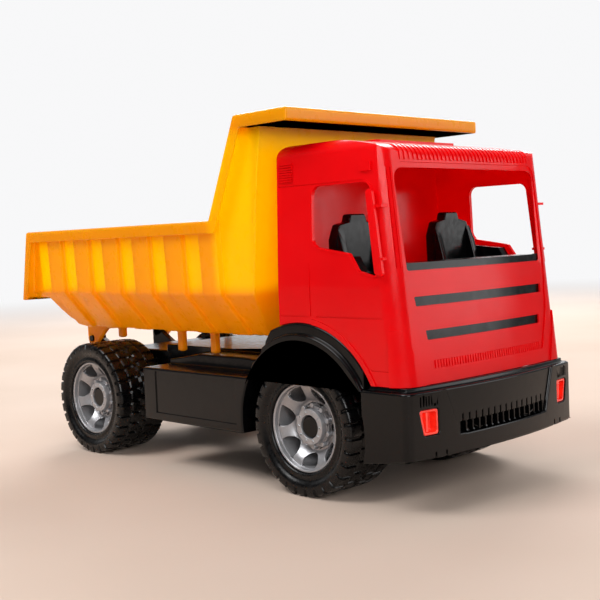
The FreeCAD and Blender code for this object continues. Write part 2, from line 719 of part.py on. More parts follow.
def bed_profile(inset, reach):
    """Side-view outline of the hull, drawn in by inset; reach lengthens it past its open sides."""
    t = inset
    ramp = [(bed_ramp_top, bed_tail_height + t), (bed_ramp_top + 3.5 + t, bed_tail_height - 13.0 + t),
            (bed_ramp_top + 8.0 + t, bed_floor + 9.0 + t), (bed_ramp_top + 18.0 + t, bed_floor + 3.0 + t),
            (bed_ramp_foot, bed_floor + t)]
    front = [(bed_front_foot - t, bed_floor + t), (bed_front_knee - t, bed_knee_height),
             (bed_front_top - t, bed_height - 2.5 + reach)]
    if reach:
        front.append((rear_end - reach, bed_height - 2.5 + reach))
        tail = [(rear_end - reach, bed_tail_height + t)]
    else:
        front += [(bed_high_rim_rear + 2, bed_height), (bed_low_rim_front + 1, bed_side_height),
                  (rear_end + 13.4, bed_side_height)]
        tail = [(rear_end + 1, bed_tail_height)]
    return tail + ramp + front


def rim_outline(inset):
    """Side-view outline of the rim's outer edge from the tail to the canopy, as a closed loop."""
    t = inset
    slope = math.hypot(bed_high_rim_rear - bed_low_rim_front, bed_height - bed_side_height)
    lean = (bed_high_rim_rear - bed_low_rim_front) / slope
    rise = (bed_height - bed_side_height) / slope
    shift = t * (1 - lean) / rise
    return [(rear_end + 0.8 * t, bed_tail_height - 1.6), (rear_end + 13.4 + 0.8 * t, bed_side_height - t),
            (bed_low_rim_front + shift, bed_side_height - t), (bed_high_rim_rear + shift, bed_height - t),
            (bed_canopy_front, bed_height - t)]


def rim_band(y0, y1, depth):
    """Band of one depth that follows the rim, on both sides of the bed."""
    return both_sides(prism_xz(rim_outline(0.0) + rim_outline(depth)[::-1], y0, y1))


def bed_ribs():
    """Outward ribs down the hull's sides, and the hollows inside them."""
    t = bed_wall
    outside = prism_xz(bed_profile(0.0, 60.0), -bed_half_width, bed_half_width)
    inside = prism_xz(bed_profile(t, 60.0), -bed_half_width, bed_half_width)
    ribs = []
    hollows = []
    for x in rib_places():
        a = x - rib_width / 2
        b = x + rib_width / 2
        room = box(a, b, -bed_half_width, bed_half_width, bed_floor, bed_side_height - 2.0)
        ribs.append(prism_yz(bed_section(rib_proud, 0.0), a, b).common(room).common(outside))
        room = box(a, b, -bed_half_width, bed_half_width, bed_floor, bed_side_height - 2.0 - t)
        hollow = prism_yz(bed_section(rib_proud - t, t + 3.0), a + t, b - t)
        hollows.append(hollow.common(room).common(inside))
    return ribs, hollows


def rear_flange():
    """Slanted frame across the open rear end, cut out to the hull's inside."""
    low = bed_tail_height - 1.6
    flange = prism_xz([(rear_end, low), (rear_end + 13.4, bed_side_height),
                       (rear_end + 16.4, bed_side_height), (rear_end + 3.0, low)],
                      -bed_half_width, bed_half_width)
    mouth = prism_yz(bed_section(-bed_wall, bed_wall), rear_end - 10, rear_end + 40)
    mouth = mouth.common(box(rear_end - 10, rear_end + 40, -bed_half_width, bed_half_width,
                             bed_tail_height + bed_wall, bed_height + 100))
    return flange.cut(mouth)


def canopy():
    """Flat shelf over the cab, with a lip along its front edge."""
    half = bed_half_width
    front = bed_canopy_front
    shelf = box(bed_front_top - 2 * bed_wall, front, -half, half, bed_height - bed_wall, bed_height)
    lip = box(front - bed_wall, front, -half, half, bed_height - bed_rim_depth, bed_height)
    return [shelf, lip]


def dump_bed():
    t = bed_wall
    wide = bed_half_width + 30
    hull = prism_xz(bed_profile(0.0, 0.0), -wide, wide)
    hull = hull.common(prism_yz(bed_section(0.0, 0.0), rear_end, front_end))
    inner = prism_xz(bed_profile(t, 60.0), -wide, wide)
    inner = inner.common(prism_yz(bed_section(-t, t), rear_end - 10, front_end))
    ribs, hollows = bed_ribs()
    shell = joined([hull] + ribs).cut(inner.fuse(hollows))
    rim_top = rim_band(bed_top_half_width - t, bed_half_width, t)
    rim_side = rim_band(bed_half_width - t, bed_half_width, bed_rim_depth)
    shell = joined([shell, rim_top, rim_side, rear_flange()] + canopy())
    reach = foot_length / 2
    feet = [both_sides(box(x - reach, x + reach, foot_inner, foot_outer, z, bed_floor + 0.5))
            for x, z in foot_places()]
    shell = joined([shell] + feet + [both_sides(hinge_lug())])
    return shell.cut(cylinder_y(hinge_x, hinge_height, hinge_pin_radius + running_clearance, -wide, wide))


def rib_places():
    return [rear_end + first_rib + i * rib_pitch for i in range(rib_count)]


def foot_places():
    """Feet under the floor: the front two rest on the deck, the rear one clears the tyre."""
    rib_x = rib_places()
    rest = wing_height + seam_gap
    return [(rib_x[1] - foot_shift, wheel_radius * 2 + 3.0), (rib_x[3] - foot_shift, rest),
            (rib_x[4] - foot_shift, rest)]


def hinge_lug():
    """Left lug below the ramp, with the pin's bore at its lower rear corner."""
    y0 = lug_half_spacing - lug_thickness / 2
    y1 = lug_half_spacing + lug_thickness / 2
    plate = prism_xz([(hinge_x - 8.0, hinge_height), (hinge_x + 6.0, hinge_height - 5.0),
                      (hinge_x + 26.0, bed_floor - 6.0), (hinge_x + 47.0, bed_floor - 4.5),
                      (hinge_x + 47.0, bed_floor + 1.0), (hinge_x + 8.0, bed_floor + 12.0),
                      (hinge_x - 5.0, bed_tail_height + 0.5), (hinge_x - 8.0, bed_tail_height + 0.5)], y0, y1)
    below = prism_xz(bed_profile(1.0, 60.0), y0 - 1, y1 + 1)
    eye = cylinder_y(hinge_x, hinge_height, 8.0, y0, y1)
    return plate.fuse(eye).cut(below)


def hinge_pin():
    """Left pin, pressed in the chassis ear and flush with the lug's outside."""
    return cylinder_y(hinge_x, hinge_height, hinge_pin_radius, bracket_inner,
                      lug_half_spacing + lug_thickness / 2 + 1.0)


# ---- wheels -------------------------------------------------------------------------
lug_count = 30
lug_height = 1.8
lug_gap_width = 2.0
tyre_wall = 3.0
rim_wall = 2.4
rim_face = wheel_outer_face - 3.6
hub_radius = 14.2
hub_face = wheel_outer_face - 10.0
flange_radius = 17.6            # toothed collar behind the hub ring
flange_face = hub_face - 5.0
nut_count = 10
nut_radius = 2.0
web_edge = rim_face - 4.5       # where the spokes meet the barrel
web_foot = hub_face - 8.0       # where the spokes meet the hub
drum_radius = 20.0
cap_radius = 8.8
cap_depth = 6.5
hole_count = 7
hole_radius = 8.6
hole_centre = 30.0
hole_reach = 32.4               # the holes end at this radius, against the barrel
first_hole = 13.0               # degrees from +X, rising


def revolved_y(outline):
    """Solid of revolution about the Y axis from (radius, y) points."""
    return face_of([Vector(r, y, 0) for r, y in outline]).revolve(Vector(0, 0, 0), Vector(0, 1, 0), 360)


def tyre():
    """Left tyre about the Y axis, hollow and open towards the rim."""
    w = tyre_wall
    r = wheel_radius - lug_height
    y0 = wheel_inner_face
    y1 = wheel_outer_face
    middle = (y0 + y1) / 2
    body = revolved_y([(rim_radius, y0 + 3), (rim_radius + 6, y0), (r - 2, y0), (r, y0 + 3), (r, y1 - 3),
                       (r - 2, y1), (rim_radius + 6, y1), (rim_radius, y1 - 3), (rim_radius, y1 - 3 - w),
                       (rim_radius + 6, y1 - w), (r - w, y1 - w), (r - w, y0 + w), (rim_radius + 6, y0 + w),
                       (rim_radius, y0 + 3 + w)])
    half = math.pi * wheel_radius / lug_count - lug_gap_width / 2
    lugs = []
    for i in range(lug_count):
        for y_a, y_b, turn in ((y0 + 2.5, middle - 1, 0.0), (middle + 1, y1 - 2.5, 0.5)):
            block = box(-half, half, y_a, y_b, r - 1.5, wheel_radius)
            block.rotate(Vector(0, 0, 0), Vector(0, 1, 0), (i + turn) * 360.0 / lug_count)
            lugs.append(block)
    return body.fuse(lugs)


def web_outline():
    """Dished web from the hub to the barrel, as (radius, y) points along its face and back."""
    run = rim_radius - rim_wall - drum_radius
    steps = [i / 6 for i in range(7)]
    face = [(drum_radius + run * s, web_foot + (web_edge - web_foot) * math.sin(s * math.pi / 2) ** 0.8)
            for s in steps]
    back = [(r, y - rim_wall) for r, y in reversed(face)]
    inner = drum_radius - 4.0
    return [(inner, web_foot)] + face + back + [(inner, web_foot - rim_wall)]


def web_hole(i):
    """One D-shaped hole, straight along the barrel and round towards the hub."""
    hole = cylinder_y(hole_centre, 0, hole_radius, web_foot - 10, rim_face)
    hole = hole.common(cylinder_y(0, 0, hole_reach, web_foot - 10, rim_face))
    hole.rotate(Vector(0, 0, 0), Vector(0, 1, 0), -first_hole - i * 360.0 / hole_count)
    return hole


def hub_nuts():
    """Small round nuts on the collar behind the hub ring."""
    nuts = []
    for i in range(nut_count):
        nut = cylinder_y(flange_radius - nut_radius / 2, 0, nut_radius, web_foot - 2.0, flange_face + 1.6)
        nut.rotate(Vector(0, 0, 0), Vector(0, 1, 0), (i + 0.5) * 360.0 / nut_count)
        nuts.append(nut)
    return nuts


def rim():
    """Left rim about the Y axis: barrel, pierced web, stepped hub, inner drum and its ring."""
    y_in = wheel_inner_face + 4.0
    w = rim_wall
    barrel = revolved_y([(rim_radius - w, y_in), (rim_radius, y_in), (rim_radius, rim_face - 1),
                         (rim_radius - 1, rim_face), (rim_radius - w, rim_face - 0.6)])
    web = revolved_y(web_outline())
    for i in range(hole_count):
        web = web.cut(web_hole(i))
    drum = ring_y(0, 0, drum_radius - w, drum_radius, y_in, web_foot)
    ring = ring_y(0, 0, drum_radius - w, rim_radius - 1, y_in, y_in + w)
    collar = cylinder_y(0, 0, flange_radius - 1.2, web_foot - w, flange_face)
    hub = cylinder_y(0, 0, hub_radius, web_foot - w, hub_face)
    tube = cylinder_y(0, 0, 7.0, wheel_inner_face, web_foot)
    pocket = cylinder_y(0, 0, cap_radius + 0.5, hub_face - cap_depth - 1.5, hub_face + 1)
    bore = cylinder_y(0, 0, axle_radius + running_clearance, 0, hub_face + 1)
    return joined([barrel, web, collar, hub, drum, ring, tube] + hub_nuts()).cut(pocket).cut(bore)


def axle_cap():
    """Left cap that holds a wheel on its axle's end, about the Y axis."""
    face = hub_face - 1.0
    cap = cylinder_y(0, 0, cap_radius, face - cap_depth, face)
    return cap.cut(cylinder_y(0, 0, axle_radius, face - cap_depth - 1.0, face - 2.0))


def axle(x):
    half = hub_face - 3.0
    return cylinder_y(x, axle_z, axle_radius, -half, half)


# ---- fasteners ----------------------------------------------------------------------
def screw(length):
    """Screw along +Z, its head below the origin."""
    head = Part.makeCylinder(screw_head_radius, screw_head_height, Vector(0, 0, -screw_head_height))
    drive = Part.makeBox(4.0, 0.9, 1.2, Vector(-2.0, -0.45, -screw_head_height))
    cross = Part.makeBox(0.9, 4.0, 1.2, Vector(-0.45, -2.0, -screw_head_height))
    shank = Part.makeCylinder(screw_radius, length)
    return head.cut(drive).cut(cross).fuse(shank)


def cab_screws():
    shapes = []
    for x in post_xs:
        for y in (-post_half_spacing, post_half_spacing):
            one = screw(cab_floor_height - deck_height + chassis_wall + 6.0)
            one.translate(Vector(x, y, deck_height - chassis_wall))
            shapes.append(one)
    return Part.makeCompound(shapes)


def bumper_screws():
    shapes = []
    for y, z in bumper_screw_places:
        one = screw(chassis_wall + 12.0)
        one.rotate(Vector(0, 0, 0), Vector(0, 1, 0), 90)
        one.translate(Vector(bumper_rear - chassis_wall, y, z))
        shapes.append(one)
    return Part.makeCompound(shapes)


def placed(shape, x, right):
    """A left wheel piece moved onto its axle, or its mirror image for the right side."""
    one = mirrored(shape) if right else shape.copy()
    one.translate(Vector(x, 0, axle_z))
    return one


def all_nodes():
    nodes = {"chassis": chassis(), "front_bumper": front_bumper(), "cab_shell": cab_shell(),
             "cab_interior": cab_interior(), "dump_bed": dump_bed()}
    for name, shape in (("headlight", headlight()), ("hinge_pin", hinge_pin()), ("seat", seat())):
        nodes[name + "_left"] = shape
        nodes[name + "_right"] = mirrored(shape)
    wheel_parts = {"tyre": tyre(), "rim": rim(), "axle_cap": axle_cap()}
    for end, x in (("front", front_axle_x), ("rear", rear_axle_x)):
        nodes[end + "_axle"] = axle(x)
        for side in ("left", "right"):
            for name, shape in wheel_parts.items():
                nodes[name + "_" + end + "_" + side] = placed(shape, x, side == "right")
    nodes["cab_screws"] = cab_screws()
    nodes["bumper_screws"] = bumper_screws()
    return nodes


os.makedirs("parts", exist_ok=True)
for node, solid_shape in all_nodes().items():
    solid_shape.exportStep("parts/" + node + ".step")
    print(node, len(solid_shape.Solids), "solids", round(solid_shape.Volume / 1000, 1), "cm3",
          "valid" if solid_shape.isValid() else "NOT VALID")
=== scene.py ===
import bpy
import bmesh
import json
import math
import numpy as np
from mathutils import Matrix, Vector
from mathutils.bvhtree import BVHTree


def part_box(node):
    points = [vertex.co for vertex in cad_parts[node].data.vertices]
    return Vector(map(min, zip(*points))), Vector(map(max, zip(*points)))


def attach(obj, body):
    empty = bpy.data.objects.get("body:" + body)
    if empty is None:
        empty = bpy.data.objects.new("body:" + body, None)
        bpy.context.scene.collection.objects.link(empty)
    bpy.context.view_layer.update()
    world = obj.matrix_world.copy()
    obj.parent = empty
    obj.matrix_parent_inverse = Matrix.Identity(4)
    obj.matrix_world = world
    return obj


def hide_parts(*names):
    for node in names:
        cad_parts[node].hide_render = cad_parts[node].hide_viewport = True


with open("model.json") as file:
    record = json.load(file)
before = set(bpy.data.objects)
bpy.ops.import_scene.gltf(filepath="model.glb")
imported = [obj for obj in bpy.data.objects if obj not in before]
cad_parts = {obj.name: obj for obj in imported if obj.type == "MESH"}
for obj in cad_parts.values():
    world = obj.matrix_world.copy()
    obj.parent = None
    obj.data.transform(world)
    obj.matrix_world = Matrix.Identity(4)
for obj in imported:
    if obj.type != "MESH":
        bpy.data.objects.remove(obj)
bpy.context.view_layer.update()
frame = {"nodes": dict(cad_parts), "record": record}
nodes = frame["nodes"]
bodies = frame["record"]["behaviour"]["bodies"]
bodyOf = {node: body for body, members in bodies.items() for node in members}
print("frame loaded:", len(nodes), "nodes")

mm = 0.001


# colours and nodes

def hexColour(text):
    # sRGB hex to linear RGBA, by the sRGB transfer curve
    parts = [int(text[i:i + 2], 16) / 255 for i in (1, 3, 5)]
    return [c / 12.92 if c <= 0.04045 else ((c + 0.055) / 1.055) ** 2.4 for c in parts] + [1.0]


def addNode(tree, kind, settings=None, links=None):
    # settings: socket name or index -> value, or node property -> value; links: socket -> output socket
    node = tree.nodes.new(kind)
    for key, value in (settings or {}).items():
        if isinstance(key, int) or key in node.inputs:
            node.inputs[key].default_value = value
        else:
            setattr(node, key, value)
    for key, source in (links or {}).items():
        tree.links.new(source, node.inputs[key])
    return node


def newMaterial(name):
    material = bpy.data.materials.new(name)
    material.use_nodes = True
    tree = material.node_tree
    tree.nodes.clear()
    place = addNode(tree, "ShaderNodeTexCoord").outputs["Object"]
    return material, tree, place


def finishMaterial(tree, shader):
    addNode(tree, "ShaderNodeOutputMaterial", links={"Surface": shader})


def perMetre(millimetres):
    # noise scale whose features are about this many millimetres across
    return 1 / (millimetres * mm)


def mottled(tree, place, size, dark, light, low=0.35, high=0.65):
    # colour that drifts between two tones over patches of the given size
    noise = addNode(tree, "ShaderNodeTexNoise", {"Scale": perMetre(size), "Detail": 3.0}, {"Vector": place})
    ramp = addNode(tree, "ShaderNodeValToRGB", links={"Fac": noise.outputs["Fac"]})
    ramp.color_ramp.elements[0].position = low
    ramp.color_ramp.elements[1].position = high
    ramp.color_ramp.elements[0].color = hexColour(dark)
    ramp.color_ramp.elements[1].color = hexColour(light)
    return ramp.outputs["Color"]


def waviness(tree, place, size, height, strength, grain=0.0, grainSize=0.6):
    # moulding flow waves of the given size and height in mm, with an optional fine grain
    wave = addNode(tree, "ShaderNodeTexNoise", {"Scale": perMetre(size), "Detail": 1.0}, {"Vector": place})
    bump = addNode(tree, "ShaderNodeBump", {"Strength": strength, "Distance": height * mm},
                   {"Height": wave.outputs["Fac"]})
    if grain:
        fine = addNode(tree, "ShaderNodeTexNoise", {"Scale": perMetre(grainSize), "Detail": 2.0},
                       {"Vector": place})
        bump = addNode(tree, "ShaderNodeBump", {"Strength": grain, "Distance": 0.05 * mm},
                       {"Height": fine.outputs["Fac"], "Normal": bump.outputs["Normal"]})
    return bump.outputs["Normal"]


def roughnessDrift(tree, place, size, low, high):
    noise = addNode(tree, "ShaderNodeTexNoise", {"Scale": perMetre(size), "Detail": 4.0}, {"Vector": place})
    # the noise stays mostly between 0.35 and 0.65, and that span covers the whole change
    span = addNode(tree, "ShaderNodeMapRange",
                   {"From Min": 0.35, "From Max": 0.65, "To Min": low, "To Max": high},
                   {"Value": noise.outputs["Fac"]})
    return span.outputs["Result"]


def redPolypropylene():
    # injection-moulded gloss polypropylene: wet-looking, faint flow waves, a little light under the skin
    material, tree, place = newMaterial("red gloss polypropylene")
    normal = waviness(tree, place, 16, 0.25, 0.25, 0.05)
    shader = addNode(tree, "ShaderNodeBsdfPrincipled",
                     {"IOR": 1.49, "Specular IOR Level": 0.38, "Subsurface Weight": 0.1,
                      "Subsurface Scale": 0.002, "Subsurface Radius": (1.0, 0.1, 0.1)},
                     {"Base Color": mottled(tree, place, 60, "#F2040C", "#FA0812"),
                      "Roughness": roughnessDrift(tree, place, 9, 0.18, 0.25),
                      "Normal": normal})
    through = addNode(tree, "ShaderNodeBsdfTranslucent", {"Color": hexColour("#FF1018")}, {"Normal": normal})
    both = addNode(tree, "ShaderNodeMixShader", {"Fac": 0.36}, {1: shader.outputs[0], 2: through.outputs[0]})
    finishMaterial(tree, both.outputs[0])
    return material


# layout of the painted glow and painted shade on the bed walls
bedGlow = {
    "firstRib": 57.0,         # mm from the bed's tail to the middle of its first rib
    "ribPitch": 47.9,
    "ribHalf": 12.0,
    "kneeHeight": 160.0,      # the wall leans in below this
    "rimHeight": 207.0,       # the rolled rim begins here
    "frontRise": 302.0,       # mm from the tail: ahead of this the wall is tall
    "frontTop": 288.0,
}


def bedPaintedGlow(tree, place):
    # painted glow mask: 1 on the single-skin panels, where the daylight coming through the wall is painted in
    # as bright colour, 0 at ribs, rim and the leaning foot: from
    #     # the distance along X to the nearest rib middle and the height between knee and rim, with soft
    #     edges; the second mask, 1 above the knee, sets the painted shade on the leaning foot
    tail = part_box("dump_bed")[0][0] / mm
    at = addNode(tree, "ShaderNodeSeparateXYZ", links={"Vector": place})
    along = addNode(tree, "ShaderNodeMath", {"operation": "MULTIPLY_ADD", 1: 1 / mm, 2: -tail},
                    {0: at.outputs["X"]})
    height = addNode(tree, "ShaderNodeMath", {"operation": "DIVIDE", 1: mm}, {0: at.outputs["Z"]})
    fromFirst = addNode(tree, "ShaderNodeMath", {"operation": "SUBTRACT", 1: bedGlow["firstRib"]},
                        {0: along.outputs[0]})
    toRib = addNode(tree, "ShaderNodeMath", {"operation": "PINGPONG", 1: bedGlow["ribPitch"] / 2},
                    {0: fromFirst.outputs[0]})

    def soft(source, low, high):
        span = addNode(tree, "ShaderNodeMapRange",
                       {"interpolation_type": "SMOOTHSTEP", "From Min": low, "From Max": high},
                       {"Value": source})
        return span.outputs["Result"]

    def product(first, second):
        return addNode(tree, "ShaderNodeMath", {"operation": "MULTIPLY"}, {0: first, 1: second}).outputs[0]

    tall = soft(along.outputs[0], bedGlow["frontRise"] - 3, bedGlow["frontRise"] + 9)
    betweenRibs = soft(toRib.outputs[0], bedGlow["ribHalf"] - 1.5, bedGlow["ribHalf"] + 3)
    singleSkinGlow = addNode(tree, "ShaderNodeMath", {"operation": "MAXIMUM"}, {0: betweenRibs, 1: tall})
    low = soft(height.outputs[0], bedGlow["kneeHeight"] - 4, bedGlow["kneeHeight"] + 8)
    topOf = addNode(tree, "ShaderNodeMapRange",
                    {"To Min": bedGlow["rimHeight"], "To Max": bedGlow["frontTop"]}, {"Value": tall})
    under = addNode(tree, "ShaderNodeMath", {"operation": "SUBTRACT"},
                    {0: topOf.outputs["Result"], 1: height.outputs[0]})
    return product(singleSkinGlow.outputs[0], product(low, soft(under.outputs[0], -4, 6))), low


def yellowPolypropylene():
    # polypropylene with a transparent yellow pigment; its colour carries painted light: single walls get a
    # painted glow of bright yellow where daylight would come through,
    #     # double ones stay orange, and the leaning foot gets a painted shade of deeper orange
    material, tree, place = newMaterial("yellow translucent polypropylene")
    paintedGlow, upright = bedPaintedGlow(tree, place)
    # painted shade: the leaning foot below the knee is a deeper orange than the upright wall
    paintedFootShade = addNode(tree, "ShaderNodeMix",
                   {"data_type": "RGBA", 6: hexColour("#FA9400"), 7: hexColour("#FAA600")}, {0: upright})
    # painted glow: bright yellow on the single-skin panels stands in for daylight coming through
    colour = addNode(tree, "ShaderNodeMix", {"data_type": "RGBA", 7: hexColour("#FFDC00")},
                     {0: paintedGlow, 6: paintedFootShade.outputs[2]})
    share = addNode(tree, "ShaderNodeMapRange", {"To Min": 0.38, "To Max": 0.66}, {"Value": paintedGlow})
    normal = waviness(tree, place, 14, 0.25, 0.2, 0.05)
    shader = addNode(tree, "ShaderNodeBsdfPrincipled",
                     {"IOR": 1.49, "Specular IOR Level": 0.4, "Subsurface Weight": 0.15,
                      "Subsurface Scale": 0.004, "Subsurface Radius": (1.0, 0.7, 0.05)},
                     {"Base Color": colour.outputs[2], "Normal": normal,
                      "Roughness": roughnessDrift(tree, place, 8, 0.26, 0.34)})
    through = addNode(tree, "ShaderNodeBsdfTranslucent", {"Color": hexColour("#FFE000")}, {"Normal": normal})
    both = addNode(tree, "ShaderNodeMixShader",
                   links={"Fac": share.outputs["Result"], 1: shader.outputs[0], 2: through.outputs[0]})
    finishMaterial(tree, both.outputs[0])
    return material


def blackPolypropylene():
    # carbon-black polypropylene off a polished mould: deep black, crisp highlights, specks of pale dust
    material, tree, place = newMaterial("black gloss polypropylene")
    specks = addNode(tree, "ShaderNodeTexNoise", {"Scale": perMetre(1.2), "Detail": 2.0}, {"Vector": place})
    dust = addNode(tree, "ShaderNodeMapRange", {"From Min": 0.73, "From Max": 0.80},
                   {"Value": specks.outputs["Fac"]})
    skin = mottled(tree, place, 5, "#030304", "#060607")
    colour = addNode(tree, "ShaderNodeMix", {"data_type": "RGBA"}, {0: dust.outputs["Result"], 6: skin})
    colour.inputs[7].default_value = hexColour("#3A3836")
    shader = addNode(tree, "ShaderNodeBsdfPrincipled", {"IOR": 1.49, "Specular IOR Level": 0.28},
                     {"Base Color": colour.outputs[2],
                      "Roughness": roughnessDrift(tree, place, 5, 0.15, 0.23),
                      "Normal": waviness(tree, place, 12, 0.3, 0.22, 0.06)})
    finishMaterial(tree, shader.outputs[0])
    return material


def blownPolyethylene():
    # blow-moulded polyethylene: softer sheen than the injected parts, slightly uneven skin
    material, tree, place = newMaterial("black blow-moulded polyethylene")
    shader = addNode(tree, "ShaderNodeBsdfPrincipled", {"IOR": 1.51, "Specular IOR Level": 0.32},
                     {"Base Color": mottled(tree, place, 4, "#030304", "#070708"),
                      "Roughness": roughnessDrift(tree, place, 4, 0.24, 0.34),
                      "Normal": waviness(tree, place, 7, 0.35, 0.25, 0.15)})
    finishMaterial(tree, shader.outputs[0])
    return material


def silverPlastic():
    # polypropylene with aluminium flake pigment: grey body, soft metallic lift at grazing light
    material, tree, place = newMaterial("silver flake polypropylene")
    shader = addNode(tree, "ShaderNodeBsdfPrincipled", {"Metallic": 0.55, "IOR": 1.5},
                     {"Base Color": mottled(tree, place, 0.5, "#98989B", "#B4B4B7", 0.3, 0.7),
                      "Roughness": roughnessDrift(tree, place, 6, 0.30, 0.38),
                      "Normal": waviness(tree, place, 10, 0.2, 0.2, 0.2)})
    finishMaterial(tree, shader.outputs[0])
    return material


def zincSteel():
    # zinc-plated drawn wire: bright, slightly blue-grey, fine draw marks
    material, tree, place = newMaterial("zinc-plated steel")
    shader = addNode(tree, "ShaderNodeBsdfPrincipled", {"Metallic": 1.0},
                     {"Base Color": mottled(tree, place, 2, "#A9ACB0", "#BFC2C6"),
                      "Roughness": roughnessDrift(tree, place, 3, 0.22, 0.34)})
    finishMaterial(tree, shader.outputs[0])
    return material


def mouldedLampRed():
    # transparent red styrene lamp cup: deep colour, very glossy; a faint red emission is painted glow for the
    # light coming through from behind
    material, tree, place = newMaterial("transparent red styrene")
    # the weak emission is painted glow: the lamp cup gives no light of its own
    shader = addNode(tree, "ShaderNodeBsdfPrincipled",
                     {"IOR": 1.59, "Emission Color": hexColour("#FF2010"), "Emission Strength": 0.12,
                      "Coat Weight": 0.6, "Coat Roughness": 0.05},
                     {"Base Color": mottled(tree, place, 8, "#E01408", "#FF3A24"),
                      "Roughness": roughnessDrift(tree, place, 6, 0.12, 0.2)})
    finishMaterial(tree, shader.outputs[0])
    return material


red = redPolypropylene()
yellow = yellowPolypropylene()
black = blackPolypropylene()
tyreBlack = blownPolyethylene()
silver = silverPlastic()
zinc = zincSteel()
lampRed = mouldedLampRed()
finishOf = {"red_plastic": red, "yellow_plastic": yellow, "black_plastic": black, "tyre_black": tyreBlack,
            "rim_silver": silver, "axle_steel": zinc, "screw_steel": zinc}
slotOf = {s["node"]: s["material_slot"] for s in frame["record"]["subparts"]}
print("materials made:", len(finishOf))


def setMaterial(obj, material):
    obj.data.materials.clear()
    obj.data.materials.append(material)


for node, obj in nodes.items():
    setMaterial(obj, finishOf[slotOf[node]])


# moulded copies: the CAD node's own shape with moulded, rounded edges

def shareRadius(grid, width, angle):
    # an edge takes the full radius, or a third of the shortest edge that crosses it where that is less
    share = grid.edges.layers.float.new("bevel_weight_edge")
    for edge in grid.edges:
        if len(edge.link_faces) != 2 or edge.calc_face_angle(0) < math.radians(angle):
            continue
        line = (edge.verts[1].co - edge.verts[0].co).normalized()
        room = width * mm * 3
        for corner in edge.verts:
            for other in corner.link_edges:
                reach = other.verts[1].co - other.verts[0].co
                if other is not edge and abs(reach.normalized().dot(line)) < 0.8:
                    room = min(room, reach.length)
        edge[share] = room / 3 / (width * mm)


def settleStrays(mesh, node, reach):
    # a rounded corner that overshot a sharp point goes back to the nearest spot of the node's own surface
    source = nodes[node].data
    surface = BVHTree.FromPolygons([v.co for v in source.vertices], [p.vertices for p in source.polygons])
    for vertex in mesh.vertices:
        near, _, _, gap = surface.find_nearest(vertex.co)
        if gap > reach:
            vertex.co = near


def softenedCopy(node, width, angle=28):
    # a merged copy of the node's mesh with flat faces joined and edges rounded to the given radius in mm
    mesh = nodes[node].data.copy()
    grid = bmesh.new()
    grid.from_mesh(mesh)
    bmesh.ops.remove_doubles(grid, verts=grid.verts, dist=0.002 * mm)
    bmesh.ops.dissolve_limit(grid, angle_limit=math.radians(0.6), verts=grid.verts, edges=grid.edges)
    shareRadius(grid, width, angle)
    grid.to_mesh(mesh)
    grid.free()
    obj = bpy.data.objects.new(node + "_moulding", mesh)
    bpy.context.scene.collection.objects.link(obj)
    pierced = node in piercedNodes
    bevel = obj.modifiers.new("edge radius", "BEVEL")
    bevel.width = width * mm
    bevel.segments = 2
    bevel.limit_method = "ANGLE" if pierced else "WEIGHT"
    bevel.angle_limit = math.radians(angle)
    bevel.use_clamp_overlap = pierced
    mesh = bpy.data.meshes.new_from_object(obj.evaluated_get(bpy.context.evaluated_depsgraph_get()))
    obj.modifiers.clear()
    obj.data = mesh
    settleStrays(mesh, node, 0.6 * width * mm)
    mesh.polygons.foreach_set("use_smooth", np.ones(len(mesh.polygons), bool))
    mesh.set_sharp_from_angle(angle=math.radians(35))
    weighted = obj.modifiers.new("face weighting", "WEIGHTED_NORMAL")
    weighted.keep_sharp = True
    setMaterial(obj, finishOf[slotOf[node]])
    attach(obj, bodyOf[node])
    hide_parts(node)
    return obj


piercedNodes = ("cab_shell", "cab_interior")   # thin walls round large openings: their edges stay small
edgeRadius = {"chassis": 1.8, "front_bumper": 1.8, "cab_shell": 0.5, "cab_interior": 0.6, "dump_bed": 2.0,
              "seat_left": 1.5, "seat_right": 1.5, "headlight_left": 0.5, "headlight_right": 0.5,
              "rim_front_left": 0.5, "rim_front_right": 0.5, "rim_rear_left": 0.5, "rim_rear_right": 0.5,
              "axle_cap_front_left": 1.2, "axle_cap_front_right": 1.2, "axle_cap_rear_left": 1.2,
              "axle_cap_rear_right": 1.2}
mouldings = {node: softenedCopy(node, radius) for node, radius in edgeRadius.items()}
for side in ("left", "right"):
    setMaterial(mouldings["headlight_" + side], lampRed)
print("mouldings softened:", len(edgeRadius))


# surfaces worked out on a grid

def gridFaces(rows, columns, closeRows, closeColumns):
    # quads between neighbouring grid points; the last row or column joins the first where it is closed
    i = np.arange(rows if closeRows else rows - 1)[:, None]
    j = np.arange(columns if closeColumns else columns - 1)[None, :]
    up = (i + 1) % rows
    across = (j + 1) % columns
    quads = np.stack([i * columns + j, i * columns + across, up * columns + across, up * columns + j], -1)
    return quads.reshape(-1, 4)


def surfaceObject(name, grids, material, body, flip=False, sharp=40):
    # grids: list of (points[rows, columns, 3] in metres, closeRows, closeColumns), joined in one mesh;
    # flip turns the faces over where the grid's order leaves them pointing inwards
    points = []
    faces = []
    start = 0
    for grid, closeRows, closeColumns in grids:
        rows, columns = grid.shape[:2]
        points.append(grid.reshape(-1, 3))
        faces.append(gridFaces(rows, columns, closeRows, closeColumns) + start)
        start += rows * columns
    points = np.concatenate(points)
    faces = np.concatenate(faces)
    if flip:
        faces = faces[:, ::-1]
    mesh = bpy.data.meshes.new(name)
    mesh.from_pydata(points, [], faces.tolist())
    mesh.polygons.foreach_set("use_smooth", np.ones(len(mesh.polygons), bool))
    mesh.set_sharp_from_angle(angle=math.radians(sharp))
    obj = bpy.data.objects.new(name, mesh)
    bpy.context.scene.collection.objects.link(obj)
    setMaterial(obj, material)
    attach(obj, body)
    return obj


